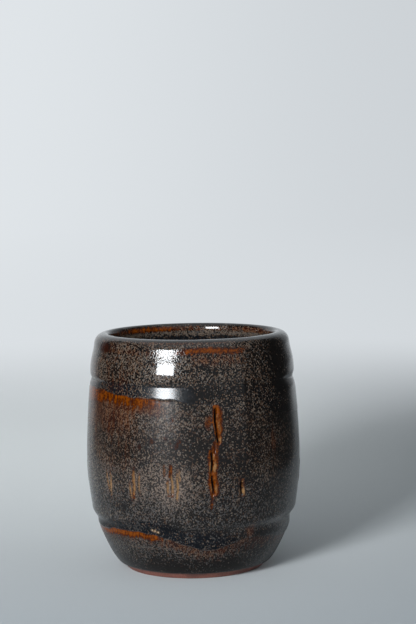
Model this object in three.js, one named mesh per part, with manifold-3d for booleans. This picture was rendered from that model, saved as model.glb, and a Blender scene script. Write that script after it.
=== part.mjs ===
// A handleless stoneware cup: one thrown clay body under four coats of glaze.
// Millimetres, +Z up. The origin is the middle of the foot, on the surface the cup stands on.
// Azimuth is in degrees round +Z: 0 at the front (-Y), 90 at the right (+X).
import * as THREE from "three";
import { mergeVertices } from "three/addons/utils/BufferGeometryUtils.js";
import Module from "manifold-3d";

// Clay, outside: the whole height, then the stretches of the wall from the table up to the widest line.
const cupHeight = 87.65;
const footRise = 1.8; // bare clay, up to the glaze line
const lowerWallRise = 14.1;
const ledgeRise = 2.1;
const stepRise = 6.2;
const lowBellyRise = 19.3;

// The stretches from the crest of the lip down to the shoulder. The upper belly takes what is left.
const lipRise = 3.25;
const collarRise = 9.4;
const bandRise = 3.3; // from the crest of the band to the bottom of the turned groove
const grooveRise = 3.1;

// Clay, outside: radii. An inset or a depth is counted from the stretch next to it.
const bellyRadius = 39.4;
const shoulderInset = 1.4;
const grooveDepth = 0.8;
const bandSwell = 0.4;
const collarInset = 1.6;
const stepInset = 1.55;
const stepDepth = 2.5;
const ledgeInset = 0.25;
const footRadius = 25.6;
const footFlare = 1.5;
const lowerBendOut = 3.6; // from the glaze line to where the foot's slope and the lower wall's would meet
const lowerBendUp = 2.8;
const bellyBendUp = 7.5; // from the widest line to where it would meet the shoulder's slope
const grooveBendUp = 0.75; // from the shoulder to where its slope would meet the groove's
const collarBendIn = 1.15; // from the band to where the collar's slope over it would meet the lip's
const collarBendUp = 4.6;

// Clay, lip and inside.
const lipWidth = 4.6;
const lipCrestInset = 3.8; // from the outer side of the lip to its highest line
const lipInnerDrop = 2.05;
const wall = 4.4; // at the widest line
const insideCornerInset = 4.5; // from the inner belly to where the wall's slope would meet the floor
const floorCornerReach = 12.5; // width of the rounding between wall and floor
const floorThickness = 4.0;
const footRingWidth = 4.6;
const recessDepth = 2.0;
const recessSlope = 1.2; // how far the recess narrows towards its top

// Glaze. Two coats end in an edge on the outside: a slanting one under the groove, a wavy one at the step.
const glazeThickness = 0.6;
const rimEdgeDrop = 5.0; // mean distance below the shoulder
const rimEdgeTilt = 6.0;
const rimEdgeHighAzimuth = -65;
const waistEdgeDrop = 0.8; // mean distance below the ledge
const waistEdgeTilt = 3.0;
const waistEdgeHighAzimuth = -45;
const waistWaveSize = 0.6;
const waistWaveCount = 5;
const glazeRunDrop = 4.0; // one long run of glaze at the front
const glazeRunAzimuth = 8;
const glazeRunSpread = 18;

// Slits, cut with a blade before glazing: a ring of short ones, and a column of deep ones in one place of it.
// Their ends are heights above the widest line.
const slitDepth = 2.4; // from the glazed surface, at the slit's middle
const slitWidth = 1.4;
const topSlitHigh = 21.9;
const topSlitLow = 12.1;
const sideSlitHigh = 13.1;
const sideSlitLow = 7.5;
const middleSlitHigh = 6.1;
const middleSlitLow = -2.8;
const bottomSlitHigh = -3.4;
const bottomSlitLow = -13.1;
const deepSlits = [
  { azimuth: 12.6, low: topSlitLow, high: topSlitHigh },
  { azimuth: 13.5, low: sideSlitLow, high: sideSlitHigh },
  { azimuth: 10.2, low: middleSlitLow, high: middleSlitHigh },
  { azimuth: 10.5, low: bottomSlitLow, high: bottomSlitHigh },
];
const ringSlitLow = -13.9;
const ringSlitHigh = -2.9;
const ringStep = 20; // degrees from slit to slit
const ringFirstAzimuth = 28; // the place before it holds the deep column
const ringLastAzimuth = 348;
const bareSides = [{ from: 40, to: 80 }, { from: 280, to: 300 }]; // stretches of the ring without slits

// Facets: steps round the cup, and rows along each stretch of the profile.
const turnSteps = 48;
const lowerWallRows = 3;
const stepRows = 3;
const bellyRows = 3;
const grooveRows = 3;
const bandRows = 2;
const collarRows = 3;
const lipRows = 4;
const mouthRows = 2;
const insideRows = 4;
const floorRows = 5;

// Heights and radii that follow.
const ledgeHeight = footRise + lowerWallRise;
const coveHeight = ledgeHeight + ledgeRise;
const stepHeight = coveHeight + stepRise;
const bellyHeight = stepHeight + lowBellyRise;
const lipSideHeight = cupHeight - lipRise;
const bandHeight = lipSideHeight - collarRise;
const grooveHeight = bandHeight - bandRise;
const shoulderHeight = grooveHeight - grooveRise;
const mouthHeight = cupHeight - lipInnerDrop;
const floorHeight = recessDepth + floorThickness;

const shoulderRadius = bellyRadius - shoulderInset;
const grooveRadius = shoulderRadius - grooveDepth;
const bandRadius = grooveRadius + bandSwell;
const lipSideRadius = bandRadius - collarInset;
const crestRadius = lipSideRadius - lipCrestInset;
const mouthRadius = lipSideRadius - lipWidth;
const stepRadius = bellyRadius - stepInset;
const coveRadius = stepRadius - stepDepth;
const ledgeRadius = coveRadius - ledgeInset;
const glazeLineRadius = footRadius + footFlare;
const insideBellyRadius = bellyRadius - wall;
const insideCornerRadius = insideBellyRadius - insideCornerInset;
const floorRadius = insideCornerRadius - floorCornerReach;

const wasm = await Module();
wasm.setup();

const at = (radius, height) => new THREE.Vector2(radius, height);
const radians = THREE.MathUtils.degToRad;

// A rounded corner from one point to another, bent towards a third.
function bend(from, corner, to) {
  return new THREE.QuadraticBezierCurve(from, corner, to);
}

// A soft step from one point to another, upright at both ends.
function softStep(from, to) {
  const middle = (from.y + to.y) / 2;
  return new THREE.CubicBezierCurve(from, at(from.x, middle), at(to.x, middle), to);
}

// The point on the line through two others that is this much higher than the second.
function beyond(first, second, rise) {
  const run = (second.x - first.x) / (second.y - first.y);
  return at(second.x + run * rise, second.y + rise);
}

// The points of curves that follow each other. Each entry is a curve and its number of rows.
function trace(stretches) {
  const points = [];
  for (const [curve, rows] of stretches) {
    points.push(...curve.getPoints(rows).slice(points.length ? 1 : 0));
  }
  return points;
}

// The glazed outside of the clay, from the glaze line over the lip to the mouth.
function outsideProfile() {
  const glazeLine = at(glazeLineRadius, footRise);
  const lowerBend = at(glazeLineRadius + lowerBendOut, footRise + lowerBendUp);
  const ledge = at(ledgeRadius, ledgeHeight);
  const cove = at(coveRadius, coveHeight);
  const step = at(stepRadius, stepHeight);
  const belly = at(bellyRadius, bellyHeight);
  const shoulder = at(shoulderRadius, shoulderHeight);
  const groove = at(grooveRadius, grooveHeight);
  const band = at(bandRadius, bandHeight);
  const lipSide = at(lipSideRadius, lipSideHeight);
  const crest = at(crestRadius, cupHeight);
  const mouth = at(mouthRadius, mouthHeight);
  const underBelly = at(bellyRadius, (stepHeight + bellyHeight) / 2);
  const overBelly = at(bellyRadius, bellyHeight + bellyBendUp);
  const grooveBend = beyond(overBelly, shoulder, grooveBendUp);
  const collarBend = at(bandRadius - collarBendIn, bandHeight + collarBendUp);
  const lipBend = beyond(collarBend, lipSide, lipRise);
  return trace([
    [bend(glazeLine, lowerBend, ledge), lowerWallRows],
    [new THREE.LineCurve(ledge, cove), 1],
    [softStep(cove, step), stepRows],
    [bend(step, underBelly, belly), bellyRows],
    [bend(belly, overBelly, shoulder), bellyRows],
    [bend(shoulder, grooveBend, groove), grooveRows],
    [softStep(groove, band), bandRows],
    [bend(band, collarBend, lipSide), collarRows],
    [bend(lipSide, lipBend, crest), lipRows],
    [bend(crest, at(mouthRadius, cupHeight), mouth), mouthRows],
  ]);
}

// The inside of the clay, from the mouth down to the middle of the floor.
function insideProfile() {
  const mouth = at(mouthRadius, mouthHeight);
  const belly = at(insideBellyRadius, bellyHeight);
  const corner = at(insideCornerRadius, floorHeight);
  const floorEdge = at(floorRadius, floorHeight);
  const overBelly = at(insideBellyRadius, (bellyHeight + mouthHeight) / 2);
  const underBelly = at(insideBellyRadius, (floorHeight + bellyHeight) / 2);
  return trace([
    [bend(mouth, overBelly, belly), insideRows],
    [new THREE.CubicBezierCurve(belly, underBelly, corner, floorEdge), floorRows],
    [new THREE.LineCurve(floorEdge, at(0, floorHeight)), 1],
  ]);
}

// The bare foot, from the middle of its recess out to the edge it stands on.
function footProfile() {
  const ringInside = footRadius - footRingWidth;
  const recessTop = at(ringInside - recessSlope, recessDepth);
  return [at(0, recessDepth), recessTop, at(ringInside, 0), at(footRadius, 0)];
}

// The outer face of a coat: each profile point moved out, square to the profile, by the coat's thickness.
function coatFace(profile) {
  return profile.map((here, index) => {
    if (here.x === 0) return at(0, here.y + glazeThickness);
    const before = profile[Math.max(index - 1, 0)];
    const after = profile[index + 1];
    const along = after.clone().sub(before).setLength(glazeThickness);
    return at(here.x + along.y, here.y - along.x);
  });
}

// A closed surface as a solid that can be cut and joined.
function solidOf(geometry) {
  geometry.deleteAttribute("normal");
  geometry.deleteAttribute("uv");
  const merged = mergeVertices(geometry);
  const triVerts = wholeTriangles(merged.index.array);
  const vertProperties = merged.attributes.position.array;
  return new wasm.Manifold(new wasm.Mesh({ numProp: 3, vertProperties, triVerts }));
}

// The triangles with three different corners: a turned profile leaves flat ones where it meets the axis.
function wholeTriangles(corners) {
  const kept = [];
  for (let i = 0; i < corners.length; i += 3) {
    const [a, b, c] = corners.slice(i, i + 3);
    if (a !== b && b !== c && c !== a) kept.push(a, b, c);
  }
  return new Uint32Array(kept);
}

// A profile turned round +Z.
function turn(profile) {
  return new THREE.LatheGeometry(profile, turnSteps).rotateX(Math.PI / 2);
}

// Height of the slanting lower edge of the rim coat.
function rimEdge(azimuth) {
  const slant = rimEdgeTilt * Math.cos(radians(azimuth - rimEdgeHighAzimuth));
  return shoulderHeight - rimEdgeDrop + slant;
}

// Height of the wavy lower edge of the belly coat.
function waistEdge(azimuth) {
  const slant = waistEdgeTilt * Math.cos(radians(azimuth - waistEdgeHighAzimuth));
  const wave = -waistWaveSize * Math.cos(radians(azimuth * waistWaveCount));
  const run = glazeRunDrop * Math.exp(-(((azimuth - glazeRunAzimuth) / glazeRunSpread) ** 2));
  return ledgeHeight - waistEdgeDrop + slant + wave - run;
}

// A wide ring that holds all of the outside wall below an edge.
function ringBelow(edge) {
  const inner = footRadius / 2;
  const outer = bellyRadius * 2;
  const bottom = -cupHeight;
  const corners = [at(inner, bottom), at(outer, bottom), at(outer, 0), at(inner, 0), at(inner, bottom)];
  const geometry = turn(corners);
  const place = geometry.attributes.position;
  for (let i = 0; i < place.count; i += 1) {
    if (place.getZ(i) < bottom / 2) continue;
    const azimuth = THREE.MathUtils.radToDeg(Math.atan2(place.getX(i), -place.getY(i)));
    place.setZ(i, edge(azimuth));
  }
  return solidOf(geometry);
}

// Radius of the outside wall at a height.
function radiusAt(face, height) {
  const above = face.findIndex((corner) => corner.y >= height);
  const [low, high] = [face[above - 1], face[above]];
  return THREE.MathUtils.mapLinear(height, low.y, high.y, low.x, high.x);
}

// A blade's cut: deepest in its middle, and running out to a point at both ends.
function slitCutter(face, { azimuth, low, high }) {
  const middle = bellyHeight + (low + high) / 2;
  const geometry = new THREE.OctahedronGeometry(1);
  geometry.scale(slitWidth / 2, slitDepth, (high - low) / 2);
  geometry.translate(0, -radiusAt(face, middle), middle);
  geometry.rotateZ(radians(azimuth));
  return solidOf(geometry);
}

function ringSlits() {
  const slits = [];
  for (let azimuth = ringFirstAzimuth; azimuth <= ringLastAzimuth; azimuth += ringStep) {
    if (bareSides.some(({ from, to }) => azimuth > from && azimuth < to)) continue;
    slits.push({ azimuth, low: ringSlitLow, high: ringSlitHigh });
  }
  return slits;
}

function meshOf(name, solid, color, roughness) {
  const { vertProperties, triVerts } = solid.getMesh();
  const geometry = new THREE.BufferGeometry();
  geometry.setAttribute("position", new THREE.BufferAttribute(vertProperties, 3));
  geometry.setIndex(new THREE.BufferAttribute(triVerts, 1));
  geometry.computeVertexNormals();
  const mesh = new THREE.Mesh(geometry, new THREE.MeshStandardMaterial({ color, roughness, metalness: 0 }));
  mesh.name = name;
  return mesh;
}

// The clay and its coats share the same rows of points, so each coat lies face to face on the clay.
const outside = outsideProfile();
const inside = insideProfile();
const coat = coatFace([...outside, ...inside.slice(1)]);
const outsideFace = coat.slice(0, outside.length);
const insideFace = coat.slice(outside.length - 1);

const clay = solidOf(turn([...footProfile(), ...outside, ...inside.slice(1)]));
const outsideCoat = solidOf(turn([...outside.toReversed(), ...outsideFace, outside.at(-1)]));
const liner = solidOf(turn([...inside.toReversed(), ...insideFace]));

const belowRim = ringBelow(rimEdge);
const belowWaist = ringBelow(waistEdge);
const rimCoat = outsideCoat.subtract(belowRim);
const bellyCoat = outsideCoat.intersect(belowRim).subtract(belowWaist);
const footCoat = outsideCoat.intersect(belowWaist);

const slits = [...deepSlits, ...ringSlits()].map((slit) => slitCutter(outsideFace, slit));
const slitted = (solid) => slits.reduce((rest, slit) => rest.subtract(slit), solid);

const cup = new THREE.Group();
cup.add(
  meshOf("clay_body", slitted(clay), 0x73443a, 0.85),
  meshOf("rim_glaze", slitted(rimCoat), 0x3a3028, 0.2),
  meshOf("belly_glaze", slitted(bellyCoat), 0x4a3a2c, 0.2),
  meshOf("foot_glaze", slitted(footCoat), 0x3c322c, 0.25),
  meshOf("liner_glaze", liner, 0x20242a, 0.15),
);

export default cup;
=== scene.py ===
"""A handleless stoneware cup: its clay and its four coats of glaze as fine meshes, in a plain studio.

Sizes of the cup are in millimetres, and become metres where its meshes are made.
Sizes and places in the studio are in metres.
Azimuth is in degrees round +Z: 0 at the front (-Y), 90 at the right (+X).
"""
import math
from dataclasses import dataclass

import bpy
import numpy as np
from mathutils import Matrix, Vector


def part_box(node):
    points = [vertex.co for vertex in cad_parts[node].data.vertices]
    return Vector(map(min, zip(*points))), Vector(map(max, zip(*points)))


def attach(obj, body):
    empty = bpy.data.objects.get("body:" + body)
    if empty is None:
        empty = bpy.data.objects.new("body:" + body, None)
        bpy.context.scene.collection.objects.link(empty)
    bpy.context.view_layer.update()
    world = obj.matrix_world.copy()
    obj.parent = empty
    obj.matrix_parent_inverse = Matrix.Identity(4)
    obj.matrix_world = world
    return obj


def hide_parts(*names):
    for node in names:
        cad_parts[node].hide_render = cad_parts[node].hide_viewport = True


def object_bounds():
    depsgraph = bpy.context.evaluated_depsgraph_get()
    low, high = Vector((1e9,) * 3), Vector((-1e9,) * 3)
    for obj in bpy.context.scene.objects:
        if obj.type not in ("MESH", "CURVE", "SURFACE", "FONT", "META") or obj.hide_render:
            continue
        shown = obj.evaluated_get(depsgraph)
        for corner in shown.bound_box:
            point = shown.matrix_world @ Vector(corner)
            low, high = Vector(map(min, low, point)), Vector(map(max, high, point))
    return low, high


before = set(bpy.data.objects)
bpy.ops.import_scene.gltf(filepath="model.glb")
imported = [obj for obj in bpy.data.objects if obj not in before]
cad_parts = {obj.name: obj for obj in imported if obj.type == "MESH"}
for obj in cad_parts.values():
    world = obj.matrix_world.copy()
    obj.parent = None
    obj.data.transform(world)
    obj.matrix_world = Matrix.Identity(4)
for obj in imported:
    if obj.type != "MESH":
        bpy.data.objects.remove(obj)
cad_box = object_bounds()
chance = np.random.default_rng(11)

MM = 0.001


def box_mm(node):
    """Lowest and highest corner of a CAD node, in millimetres."""
    return [np.array(corner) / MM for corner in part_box(node)]


# Sizes that the frame gives.
CUP_HEIGHT = box_mm("clay_body")[1][2]
BELLY_RADIUS = box_mm("clay_body")[1][0]
GLAZE = cad_box[1].x / MM - BELLY_RADIUS
FLOOR_HEIGHT = box_mm("liner_glaze")[0][2]
MOUTH_HEIGHT = box_mm("liner_glaze")[1][2]
INSIDE_RADIUS = box_mm("liner_glaze")[1][0]

# Clay, outside: stretches of the wall from the table up, then from the crest of the lip down.
FOOT_RISE = 1.8
LOWER_WALL_RISE = 14.1
LEDGE_RISE = 2.1
STEP_RISE = 6.2
LOW_BELLY_RISE = 19.3
LIP_RISE = 3.25
COLLAR_RISE = 10.5
BAND_RISE = 2.55
GROOVE_RISE = 3.75

# Clay, outside: radii, each counted from the stretch next to it, and the corners of the bends.
SHOULDER_INSET = 1.3
GROOVE_DEPTH = 1.15
BAND_SWELL = 0.64
COLLAR_INSET = 1.62
STEP_INSET = 1.55
STEP_DEPTH = 2.5
LEDGE_INSET = 0.25
FOOT_RADIUS = 25.6
FOOT_FLARE = 1.5
LOWER_BEND_OUT = 3.6
LOWER_BEND_UP = 2.8
BELLY_BEND_UP = 7.5
GROOVE_BEND_UP = 1.6
BAND_BEND_UP = 5.2
COLLAR_BEND_UP = 4.2
COLLAR_END_LEAN = 0.52

# Clay, lip, inside and foot.
LIP_WIDTH = 4.6
LIP_CREST_INSET = 3.8
INSIDE_CORNER_INSET = 4.5
FLOOR_CORNER_REACH = 12.5
FOOT_RING_WIDTH = 4.6
RECESS_DEPTH = 2.0
RECESS_SLOPE = 1.2
FOOT_ROUNDING = 0.5

# Points on the clay that follow, as radius and height.
GLAZE_LINE = (FOOT_RADIUS + FOOT_FLARE, FOOT_RISE)
COVE_RADIUS = BELLY_RADIUS - STEP_INSET - STEP_DEPTH
LEDGE = (COVE_RADIUS - LEDGE_INSET, FOOT_RISE + LOWER_WALL_RISE)
COVE = (COVE_RADIUS, LEDGE[1] + LEDGE_RISE)
STEP = (BELLY_RADIUS - STEP_INSET, COVE[1] + STEP_RISE)
BELLY = (BELLY_RADIUS, STEP[1] + LOW_BELLY_RISE)
BAND_HEIGHT = CUP_HEIGHT - LIP_RISE - COLLAR_RISE
GROOVE_HEIGHT = BAND_HEIGHT - BAND_RISE
SHOULDER = (BELLY_RADIUS - SHOULDER_INSET, GROOVE_HEIGHT - GROOVE_RISE)
GROOVE = (SHOULDER[0] - GROOVE_DEPTH, GROOVE_HEIGHT)
BAND = (GROOVE[0] + BAND_SWELL, BAND_HEIGHT)
LIP_SIDE = (BAND[0] - COLLAR_INSET, CUP_HEIGHT - LIP_RISE)
CREST = (LIP_SIDE[0] - LIP_CREST_INSET, CUP_HEIGHT)
MOUTH = (LIP_SIDE[0] - LIP_WIDTH, MOUTH_HEIGHT)
INSIDE_CORNER = (INSIDE_RADIUS - INSIDE_CORNER_INSET, FLOOR_HEIGHT)
FLOOR_EDGE = (INSIDE_CORNER[0] - FLOOR_CORNER_REACH, FLOOR_HEIGHT)

# Edges of the coats, as heights on the wall.
RIM_EDGE_DROP = 4.05
RIM_EDGE_TILT = 6.0
RIM_EDGE_HIGH_AZIMUTH = -65
RIM_DIP = 1.1  # a sag in the rim edge
RIM_DIP_PLACE = (-41, 10)  # azimuth and spread
WAIST_EDGE_DROP = 0.8
WAIST_EDGE_TILT = 3.0
WAIST_EDGE_HIGH_AZIMUTH = -45
WAIST_WAVE_SIZE = 0.6
WAIST_WAVE_COUNT = 5
GLAZE_RUN_DROP = 4.0
GLAZE_RUN_PLACE = (8, 18)
BARE_EDGE = 1.1  # bare clay over the foot's flare
GLAZE_ROLL = 0.9  # length over which a coat's edge thins out on the bare foot
GROOVE_SOFTNESS = 0.7  # the glaze rounds the bottom of the groove
GROOVE_REACH = 2.0
SLIT_BACK = 2.4  # thickness of the modelled coat where slits are cut, so that glaze lines them

# Fineness of the meshes, and where they end and meet.
COLUMNS = 840
LINER_COLUMNS = 300
FOOT_ROWS = 34
BELLY_ROWS = 88
RIM_ROWS = 66
BACK_ROWS = 14
LINER_ROWS = 150
LINER_BACK_ROWS = 40
CLAY_WALL_ROWS = 160
CLAY_INSIDE_ROWS = 60
LINE_SPACING = 0.05
FOOT_SPACING = 0.1
CORNER_SOFTNESS = 0.35
POLE = 0.6  # a mesh ends this far from the axis, and a fan closes it
CLAY_GAP = 0.02  # between the clay and the coats on it
CLAY_START = 0.3  # where its hidden side starts, over the glaze line
FLOOR_CALM = 8  # the ripples inside fade out this far from the middle of the floor
FINE_COLUMNS = 7200
SLIT_CROWDING = 2.6  # how many more columns there are at a slit
SLIT_CROWDING_SPREAD = 1.9
MOST_CROWDING = 4.5
EDGE_CROWDING = 0.38  # and how far the rows of a coat crowd at its edges

# Heights on the bake map that each side of a piece takes up.
FRONT_BAND = (0.06, 0.94)
FRONT_POLE_BAND = (0.94, 0.95)
HIGH_EDGE_BAND = (0.95, 0.96)
LOW_EDGE_BAND = (0.97, 0.98)
BACK_BAND = (0.01, 0.03)
BACK_POLE_BAND = (0.005, 0.01)
CLAY_BAND = (0.02, 0.98)
CLAY_FOOT_BAND = (0.02, 0.01)
CLAY_FLOOR_BAND = (0.98, 0.99)


def smooth(low, high, value):
    """0 below low, 1 above high, and an even curve between; the other way round if low is above high."""
    t = np.clip((np.asarray(value, float) - low) / (high - low), 0, 1)
    return t * t * (3 - 2 * t)


def bell(value, middle, spread):
    return np.exp(-(((np.asarray(value, float) - middle) / spread) ** 2))


def strip(value, low, high, soft):
    """1 between two values and 0 outside them, with edges this soft."""
    return smooth(low - soft, low + soft, value) * smooth(high + soft, high - soft, value)


def fade(span, value, unit=1.0):
    """The smooth step between the two ends of a span, which are counted in a unit."""
    return smooth(span[0] * unit, span[1] * unit, value)


def turned(azimuth, middle):
    """Azimuth counted from another one, from -180 to 180."""
    return (np.asarray(azimuth, float) - middle + 180) % 360 - 180


def round_bell(azimuth, middle, spread):
    return bell(turned(azimuth, middle), 0, spread)


def on_arc(arc, azimuth):
    """1 on an arc and 0 off it: the azimuths of its two ends, and how soft these are."""
    return strip(turned(azimuth, 0), *arc)


# Profile lines.
STEPS = np.linspace(0, 1, 41)[:, None]


def curve(*points):
    """A line from the first point to the last that leaves and comes in towards those between them."""
    points = [np.array(point, float) for point in points]
    while len(points) > 1:
        points = [here + STEPS * (there - here) for here, there in zip(points, points[1:])]
    return points[0]


def soft_step(start, end):
    """From one point to another, upright at both ends."""
    middle = (start[1] + end[1]) / 2
    return curve(start, (start[0], middle), (end[0], middle), end)


def beyond(first, second, rise):
    """The point on the line through two others that is this much higher than the second."""
    run = (second[0] - first[0]) / (second[1] - first[1])
    return second[0] + run * rise, second[1] + rise


def lengths_along(points):
    return np.concatenate([[0], np.cumsum(np.hypot(*np.diff(points, axis=0).T))])


def evenly(points, spacing):
    """The same line with evenly spaced points."""
    lengths = lengths_along(points)
    places = np.linspace(0, lengths[-1], round(lengths[-1] / spacing) + 1)
    return np.stack([np.interp(places, lengths, points[:, k]) for k in (0, 1)], axis=1)


def softened(points, reach, spacing):
    """The same line with its corners rounded, and its ends where they were."""
    half = int(4 * reach / spacing)
    weights = bell(np.arange(-half, half + 1) * spacing, 0, reach)
    weights /= weights.sum()
    before = 2 * points[0] - points[half:0:-1]
    after = 2 * points[-1] - points[-2 : -half - 2 : -1]
    padded = np.concatenate([before, points, after])
    return np.stack([np.convolve(padded[:, k], weights, "valid") for k in (0, 1)], axis=1)


def outward(points):
    """Unit normals on the left of the line's way, which is outside the clay."""
    along = np.gradient(points, axis=0)
    along /= np.hypot(*along.T)[:, None]
    return np.stack([along[:, 1], -along[:, 0]], axis=1)


def outside_line():
    lower_bend = (GLAZE_LINE[0] + LOWER_BEND_OUT, FOOT_RISE + LOWER_BEND_UP)
    under_belly = (BELLY_RADIUS, (STEP[1] + BELLY[1]) / 2)
    over_belly = (BELLY_RADIUS, BELLY[1] + BELLY_BEND_UP)
    groove_bend = beyond(over_belly, SHOULDER, GROOVE_BEND_UP)
    over_band = (BAND[0], BAND_HEIGHT + BAND_BEND_UP)
    under_lip = (LIP_SIDE[0] + COLLAR_END_LEAN, LIP_SIDE[1] - COLLAR_BEND_UP)
    lip_bend = beyond(under_lip, LIP_SIDE, LIP_RISE)
    stretches = [
        curve(GLAZE_LINE, lower_bend, LEDGE),
        curve(LEDGE, COVE),
        soft_step(COVE, STEP),
        curve(STEP, under_belly, BELLY),
        curve(BELLY, over_belly, SHOULDER),
        curve(SHOULDER, groove_bend, GROOVE),
        soft_step(GROOVE, BAND),
        curve(BAND, over_band, under_lip, LIP_SIDE),
        curve(LIP_SIDE, lip_bend, CREST),
        curve(CREST, (MOUTH[0], CUP_HEIGHT), MOUTH),
    ]
    return np.concatenate([stretches[0]] + [stretch[1:] for stretch in stretches[1:]])


def inside_line():
    belly = (INSIDE_RADIUS, BELLY[1])
    over_belly = (INSIDE_RADIUS, (BELLY[1] + MOUTH_HEIGHT) / 2)
    under_belly = (INSIDE_RADIUS, (BELLY[1] + FLOOR_HEIGHT) / 2)
    wall = curve(MOUTH, over_belly, belly)
    rounding = curve(belly, under_belly, INSIDE_CORNER, FLOOR_EDGE)
    floor = curve(FLOOR_EDGE, (0, FLOOR_HEIGHT))
    return np.concatenate([wall, rounding[1:], floor[1:]])


def thickness(place):
    """Thickness of the glaze, which ends in a round edge at the bare foot."""
    thin = 1 - np.clip((place - BARE_EDGE) / GLAZE_ROLL, 0, 1)
    return GLAZE * np.sqrt(1 - thin**2)


class Skin:
    """The glazed surface as one line: from the bare foot up, over the lip and down to the floor's middle.

    A place on it is the length along the clay under it, from the glaze line.
    """

    def __init__(self):
        outside = evenly(outside_line(), LINE_SPACING)
        inside = evenly(inside_line(), LINE_SPACING)
        clay = softened(np.concatenate([outside, inside[1:]]), CORNER_SOFTNESS, LINE_SPACING)
        normals = outward(clay)
        self.place = lengths_along(clay)
        skin = clay + normals * thickness(self.place)[:, None]
        near = bell(skin[:, 1:], GROOVE_HEIGHT, GROOVE_REACH)
        skin += near * (softened(skin, GROOVE_SOFTNESS, LINE_SPACING) - skin)
        normals += near * (outward(skin) - normals)
        skin[:, 0] = np.maximum(skin[:, 0], 0)
        self.radius, self.height = skin.T
        self.normal_r, self.normal_z = normals.T
        self.mouth = self.place[len(outside) - 1]
        self.crest = self.place[np.argmax(self.height)]
        self.end = self.place[-1]

    def at(self, place):
        """Radius, height and normal at places along the line."""
        columns = (self.radius, self.height, self.normal_r, self.normal_z)
        return [np.interp(place, self.place, column) for column in columns]

    def place_of(self, height):
        """The place on the outside wall at a height."""
        wall = (self.place > 2 * GLAZE_ROLL) & (self.place < self.crest)
        return np.interp(height, self.height[wall], self.place[wall])


skin = Skin()


# Edges of the coats.
class Wobble:
    """A closed uneven line round the cup: waves of these counts and about this size, with chance phases."""

    def __init__(self, size, counts):
        self.size = size / math.sqrt(len(counts))
        self.waves = [(count, chance.uniform(0, 2 * np.pi)) for count in counts]

    def __call__(self, azimuth):
        return self.size * sum(np.cos(np.radians(azimuth) * count + phase) for count, phase in self.waves)


rim_wobble = Wobble(size=0.28, counts=(9, 14, 23, 37))
waist_wobble = Wobble(size=0.22, counts=(8, 13, 21, 34))


def rim_edge(azimuth):
    slant = RIM_EDGE_TILT * np.cos(np.radians(azimuth - RIM_EDGE_HIGH_AZIMUTH))
    dip = RIM_DIP * round_bell(azimuth, *RIM_DIP_PLACE)
    return SHOULDER[1] - RIM_EDGE_DROP + slant - dip + rim_wobble(azimuth)


def waist_edge(azimuth):
    slant = WAIST_EDGE_TILT * np.cos(np.radians(azimuth - WAIST_EDGE_HIGH_AZIMUTH))
    wave = -WAIST_WAVE_SIZE * np.cos(np.radians(azimuth * WAIST_WAVE_COUNT))
    run = GLAZE_RUN_DROP * round_bell(azimuth, *GLAZE_RUN_PLACE)
    return LEDGE[1] - WAIST_EDGE_DROP + slant + wave - run + waist_wobble(azimuth)


# Slits.
@dataclass
class Slit:
    """A blade's cut up the wall, lined with glaze that breaks amber along both sides."""

    azimuth: float
    low: float
    high: float
    depth: float
    left: float  # width of the amber on the left
    right: float  # and on the right
    amber: float = 1.0  # how clearly the glaze breaks there
    cream: float = 0.0  # how pale it gets near the low end
    lean: float = 0.0  # azimuth gained from the low end to the high end


DEEP_SLIT = 1.2  # from this depth on a slit has its full width, lips and dark core
SLIT_HALF_WIDTH = 0.42
THIN_SHARE = 0.55  # of that width, where a slit has no depth
SLIT_LIP = 0.15
SLIT_REACH = 9  # azimuth to both sides that a slit can mark
SLIT_OVERRUN = 0.3  # and share of its length past both ends
SLIT_SWAY = 0.2
CORE_DEPTHS = (0.6, 1)  # shares of a deep slit's depth
SHALLOW_DEPTHS = (0.75, 0.45)

# Parts of a slit, by their distance from its middle in half-widths.
CUT_SIDE = (1.9, 0.3)
CORE_SIDE = (0.85, 0.4)
LIP_PLACE = 2.4
CREAM_PLACE = 1.3
CREAM_WIDTH = 0.2  # in millimetres
LOW_CREAM_PLACE = 1.2
SHALLOW_CREAM_WIDTH = 1.9
LEAF_OVERRUN = 0.14  # the amber runs this share of the length past both ends
LEAF_POWER = 0.35  # and ends in a blunt leaf

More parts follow.
